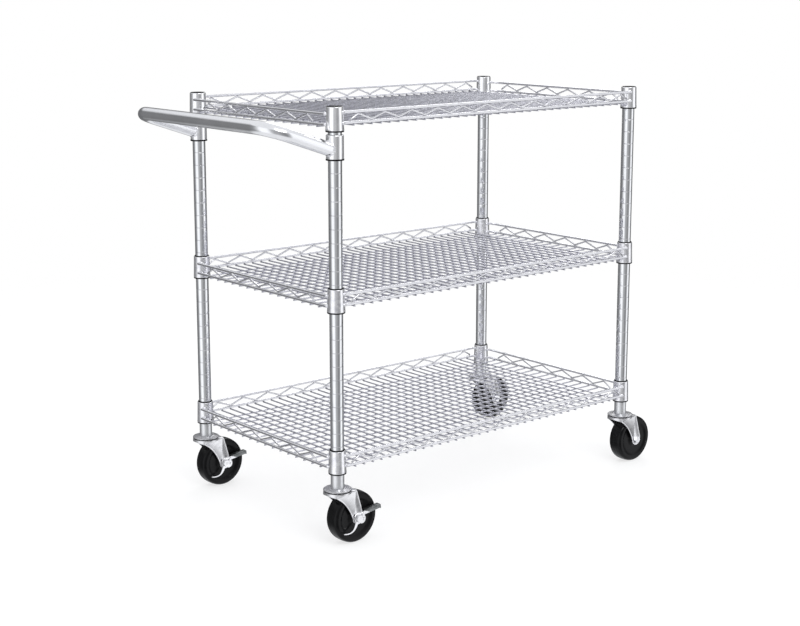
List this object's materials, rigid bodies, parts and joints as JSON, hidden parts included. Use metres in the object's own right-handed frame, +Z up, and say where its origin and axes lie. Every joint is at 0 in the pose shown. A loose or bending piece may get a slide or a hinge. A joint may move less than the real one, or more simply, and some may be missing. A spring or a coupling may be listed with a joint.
{
  "type": "rolling utility cart",
  "caption": "Rolling utility cart with tray-style chrome wire shelves on grooved posts, a tubular push handle, and swivel casters with brakes at the handle end.",
  "frame": {"origin": "on the floor, under the middle of the whole cart's bounding box", "axes": "+Z up, +X along the shelves away from the push handle, +Y to the left of someone pushing the cart; casters trail towards +X"},
  "size_m": [1.0176, 0.4994, 0.8199],
  "materials": {
    "chrome_tube": "bright chrome plate on steel tube, fine draw lines along its length",
    "chrome_collar": "bright chrome plate, slightly softer than the tubes",
    "chrome_wire": "chrome plate on welded wire",
    "chrome_deck": "chrome plate on welded wire",
    "zinc_steel": "zinc plate on pressed steel, satin",
    "bearing_steel": "polished balls in grease",
    "pedal_steel": "dull gunmetal, ribbed for the foot",
    "black_wheel": "hard black rubber, glossy faces and a worn tread",
    "black_plastic": "moulded, slightly satin"
  },
  "bodies": {
    "frame": {"post_rear_right": "chrome_tube", "post_rear_left": "chrome_tube", "post_front_left": "chrome_tube", "post_front_right": "chrome_tube", "post_caps": "black_plastic", "post_foot_inserts": "zinc_steel", "bottom_shelf_collars": "chrome_collar", "bottom_shelf_sleeve_halves": "black_plastic", "bottom_shelf_rails": "chrome_wire", "bottom_shelf_truss_wires": "chrome_wire", "bottom_shelf_cross_wires": "chrome_deck", "bottom_shelf_long_wires": "chrome_deck", "middle_shelf_collars": "chrome_collar", "middle_shelf_sleeve_halves": "black_plastic", "middle_shelf_rails": "chrome_wire", "middle_shelf_truss_wires": "chrome_wire", "middle_shelf_cross_wires": "chrome_deck", "middle_shelf_long_wires": "chrome_deck", "top_shelf_collars": "chrome_collar", "top_shelf_sleeve_halves": "black_plastic", "top_shelf_rails": "chrome_wire", "top_shelf_truss_wires": "chrome_wire", "top_shelf_cross_wires": "chrome_deck", "top_shelf_long_wires": "chrome_deck", "handle_bar": "chrome_tube", "handle_collars": "chrome_collar", "handle_sleeve_halves": "black_plastic", "caster_stems": "zinc_steel", "caster_top_plates": "zinc_steel"},
    "swivel_rear_right": {"caster_fork_rear_right": "zinc_steel", "swivel_balls_rear_right": "bearing_steel", "axle_bolt_rear_right": "zinc_steel", "axle_nut_rear_right": "zinc_steel", "axle_sleeve_rear_right": "zinc_steel"},
    "wheel_rear_right": {"wheel_rear_right": "black_wheel"},
    "brake_rear_right": {"brake_lever_rear_right": "zinc_steel", "brake_pedal_rear_right": "pedal_steel"},
    "swivel_rear_left": {"caster_fork_rear_left": "zinc_steel", "swivel_balls_rear_left": "bearing_steel", "axle_bolt_rear_left": "zinc_steel", "axle_nut_rear_left": "zinc_steel", "axle_sleeve_rear_left": "zinc_steel"},
    "wheel_rear_left": {"wheel_rear_left": "black_wheel"},
    "brake_rear_left": {"brake_lever_rear_left": "zinc_steel", "brake_pedal_rear_left": "pedal_steel"},
    "swivel_front_left": {"caster_fork_front_left": "zinc_steel", "swivel_balls_front_left": "bearing_steel", "axle_bolt_front_left": "zinc_steel", "axle_nut_front_left": "zinc_steel", "axle_sleeve_front_left": "zinc_steel"},
    "wheel_front_left": {"wheel_front_left": "black_wheel"},
    "swivel_front_right": {"caster_fork_front_right": "zinc_steel", "swivel_balls_front_right": "bearing_steel", "axle_bolt_front_right": "zinc_steel", "axle_nut_front_right": "zinc_steel", "axle_sleeve_front_right": "zinc_steel"},
    "wheel_front_right": {"wheel_front_right": "black_wheel"}
  },
  "joints": [
    {"name": "swivel_joint_rear_right", "type": "hinge", "parent": "frame", "child": "swivel_rear_right", "pos_m": [-0.35415, -0.2215, 0.104], "axis": [0, 0, 1], "continuous": true},
    {"name": "wheel_joint_rear_right", "type": "hinge", "parent": "swivel_rear_right", "child": "wheel_rear_right", "pos_m": [-0.32215, -0.2215, 0.05], "axis": [0, 1, 0], "continuous": true},
    {"name": "brake_joint_rear_right", "type": "hinge", "parent": "swivel_rear_right", "child": "brake_rear_right", "pos_m": [-0.32215, -0.2438, 0.05], "axis": [0, 1, 0], "range_deg": [0, 30]},
    {"name": "swivel_joint_rear_left", "type": "hinge", "parent": "frame", "child": "swivel_rear_left", "pos_m": [-0.35415, 0.2215, 0.104], "axis": [0, 0, 1], "continuous": true},
    {"name": "wheel_joint_rear_left", "type": "hinge", "parent": "swivel_rear_left", "child": "wheel_rear_left", "pos_m": [-0.32215, 0.2215, 0.05], "axis": [0, 1, 0], "continuous": true},
    {"name": "brake_joint_rear_left", "type": "hinge", "parent": "swivel_rear_left", "child": "brake_rear_left", "pos_m": [-0.32215, 0.1992, 0.05], "axis": [0, 1, 0], "range_deg": [0, 30]},
    {"name": "swivel_joint_front_left", "type": "hinge", "parent": "frame", "child": "swivel_front_left", "pos_m": [0.42685, 0.2215, 0.104], "axis": [0, 0, 1], "continuous": true},
    {"name": "wheel_joint_front_left", "type": "hinge", "parent": "swivel_front_left", "child": "wheel_front_left", "pos_m": [0.45885, 0.2215, 0.05], "axis": [0, 1, 0], "continuous": true},
    {"name": "swivel_joint_front_right", "type": "hinge", "parent": "frame", "child": "swivel_front_right", "pos_m": [0.42685, -0.2215, 0.104], "axis": [0, 0, 1], "continuous": true},
    {"name": "wheel_joint_front_right", "type": "hinge", "parent": "swivel_front_right", "child": "wheel_front_right", "pos_m": [0.45885, -0.2215, 0.05], "axis": [0, 1, 0], "continuous": true}
  ]
}
